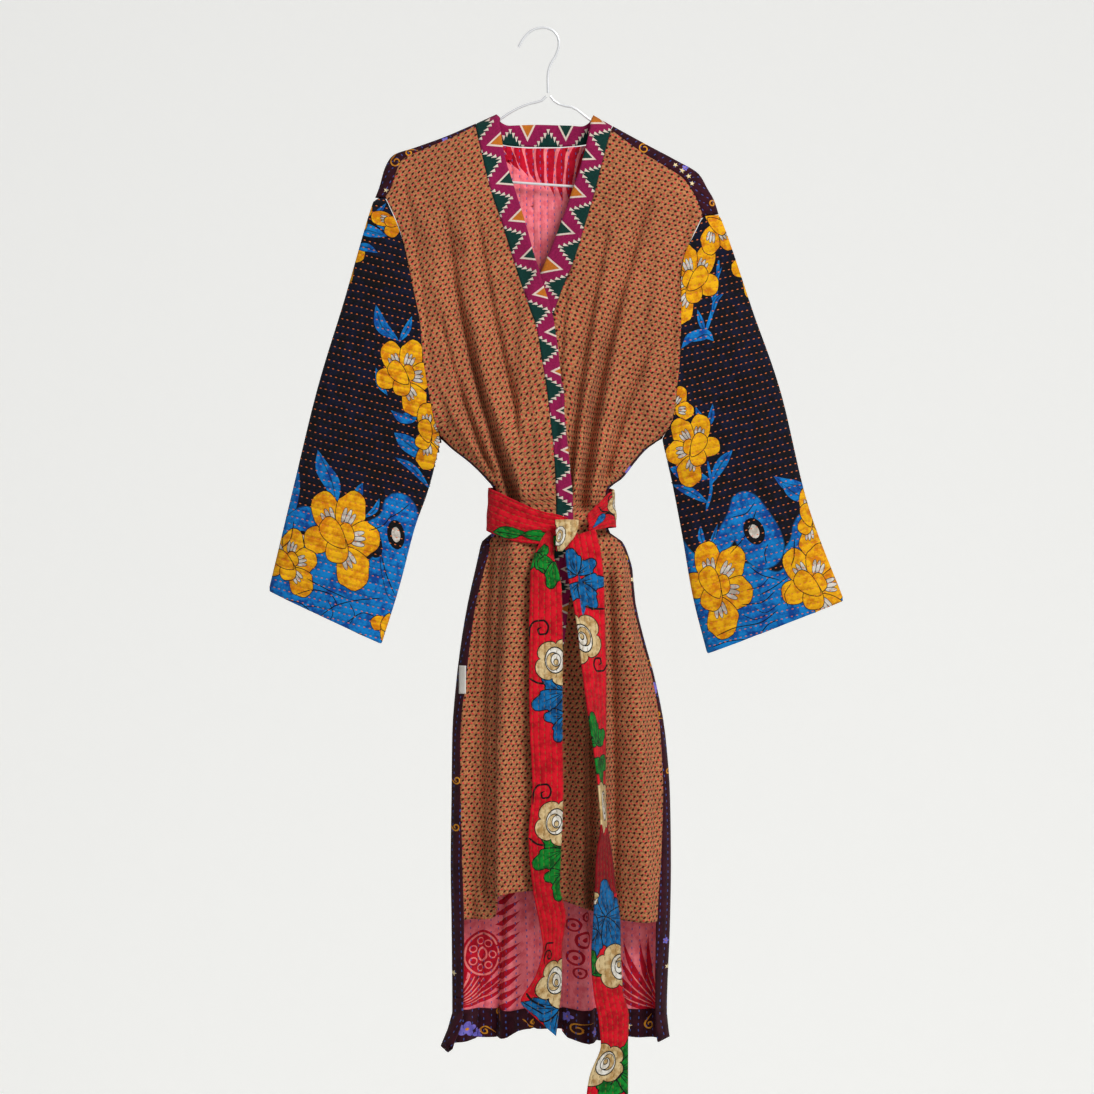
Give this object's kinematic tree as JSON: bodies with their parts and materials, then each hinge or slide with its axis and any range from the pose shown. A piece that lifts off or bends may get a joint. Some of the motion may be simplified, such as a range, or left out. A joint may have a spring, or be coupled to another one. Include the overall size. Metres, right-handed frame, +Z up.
{
  "type": "long kimono robe on a wire hanger",
  "caption": "Long open-front kimono robe of quilted cotton, wrapped and tied with its own belt, hanging on a plain wire hanger.",
  "frame": {"origin": "inside the top of the hanger's hook, where it rests on whatever carries it", "axes": "+Z up along the hanging robe, +Y from the front of the robe to its back, +X to the viewer's right"},
  "size_m": [0.702, 0.1211, 1.3734],
  "materials": {
    "tan_cloth": "tan quilted cotton with small woven marks",
    "plum_cloth": "dark plum quilted cotton with running stitches, pink inside",
    "sleeve_cloth": "near-black quilted cotton printed with flowers and leaves",
    "band_cloth": "cotton strip with a zigzag of triangles",
    "belt_cloth": "red quilted cotton printed with blossoms and leaves",
    "label_cloth": "plain woven tape",
    "hanger_wire": "pale coated wire"
  },
  "bodies": {
    "root": {"front_left": "tan_cloth", "front_right": "tan_cloth", "back": "plum_cloth", "hem_facing": "plum_cloth", "sleeve_left": "sleeve_cloth", "sleeve_right": "sleeve_cloth", "neckband_left": "band_cloth", "neckband_right": "band_cloth", "neckband_back": "band_cloth", "label": "label_cloth", "belt_loop": "belt_cloth", "belt_knot": "belt_cloth", "belt_end_left": "belt_cloth", "belt_end_right": "belt_cloth", "hanger_hook": "hanger_wire", "hanger_left": "hanger_wire", "hanger_right": "hanger_wire", "hanger_bar": "hanger_wire"}
  },
  "joints": []
}
